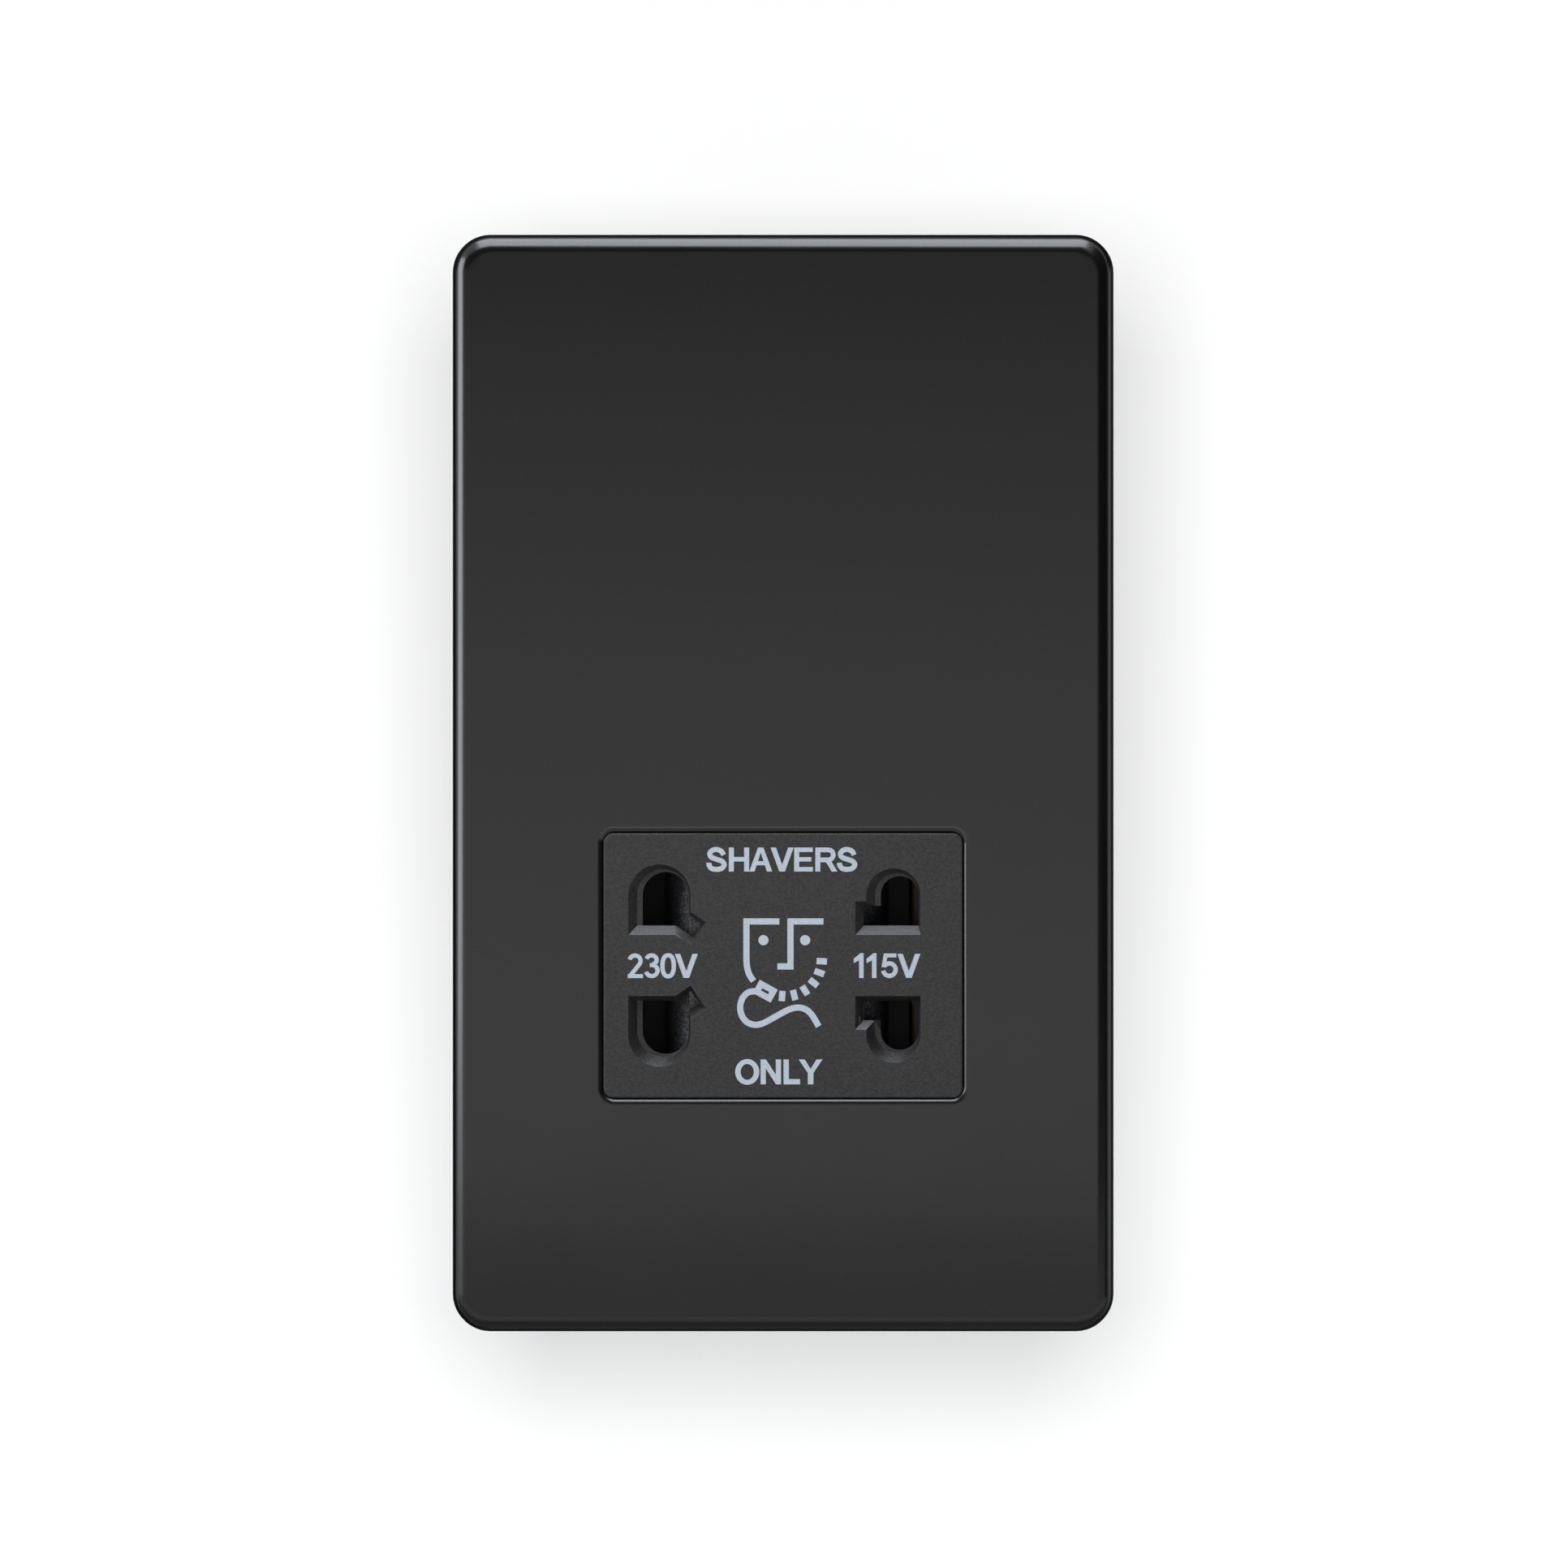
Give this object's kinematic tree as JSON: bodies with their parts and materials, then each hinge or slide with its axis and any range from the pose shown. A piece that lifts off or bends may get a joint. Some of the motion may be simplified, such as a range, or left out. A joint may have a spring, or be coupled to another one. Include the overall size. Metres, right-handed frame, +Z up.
{
  "type": "dual-voltage shaver socket",
  "caption": "Wall socket for electric shavers: black steel front plate, moulded face with pin apertures for two voltages, interlock slide, and an isolating transformer in the rear cover.",
  "frame": {"origin": "midway between the two fixing holes, on the wall surface that the socket sits on", "axes": "+X to the right and +Z up as seen from the room, +Y into the wall"},
  "size_m": [0.091, 0.0463, 0.151],
  "materials": {
    "plate_powder_coat": "satin black powder coat on steel",
    "frame_plastic": "moulded black carrier plastic",
    "gasket_rubber": "soft foam rubber sheet",
    "face_plastic": "fine spark-eroded black moulding",
    "slide_plastic": "smooth black acetal",
    "spring_bronze": "phosphor bronze strip",
    "contact_brass": "bright stamped brass",
    "block_plastic": "ivory urea moulding",
    "core_steel": "varnished electrical steel",
    "bobbin_plastic": "natural nylon",
    "copper_wire": "enamelled copper wire",
    "tape_polyester": "yellow polyester tape",
    "cutout_case": "moulded case",
    "cover_plastic": "moulded black flame-retardant plastic",
    "zinc_screw": "zinc-plated steel",
    "terminal_plastic": "off-white moulding",
    "tinned_pin": "tinned steel wire",
    "lead_brown": "brown insulation",
    "lead_blue": "blue insulation",
    "lead_green": "green and yellow insulation",
    "lead_black": "black insulation",
    "lead_red": "red insulation",
    "lead_white": "white insulation"
  },
  "bodies": {
    "housing": {"front_plate": "plate_powder_coat", "clip_frame": "frame_plastic", "rear_gasket": "gasket_rubber", "socket_face": "face_plastic", "face_screws": "zinc_screw", "slide_spring_left": "spring_bronze", "slide_spring_right": "spring_bronze", "switch_rivet_left": "contact_brass", "switch_rivet_right": "contact_brass", "contact_block": "block_plastic", "contact_retainer": "block_plastic", "common_contact": "contact_brass", "contact_230": "contact_brass", "contact_115": "contact_brass", "transformer_core": "core_steel", "transformer_bobbin": "bobbin_plastic", "primary_winding": "copper_wire", "secondary_winding": "copper_wire", "winding_tapes": "tape_polyester", "wire_pins": "tinned_pin", "thermal_cutout": "cutout_case", "rear_cover": "cover_plastic", "cover_screws": "zinc_screw", "terminal_block": "terminal_plastic", "terminal_live": "contact_brass", "terminal_earth": "contact_brass", "terminal_neutral": "contact_brass", "terminal_screws": "zinc_screw", "earth_spring": "spring_bronze", "lead_live": "lead_brown", "lead_neutral": "lead_blue", "lead_earth": "lead_green", "lead_common": "lead_black", "lead_230": "lead_red", "lead_115": "lead_white"},
    "interlock": {"interlock_slide": "slide_plastic"}
  },
  "joints": [
    {"name": "interlock_travel", "type": "slide", "parent": "housing", "child": "interlock", "axis": [1, 0, 0], "range_m": [-0.002, 0.002], "stiffness_N_per_m": 400, "deforming": ["slide_spring_left", "slide_spring_right"]}
  ]
}
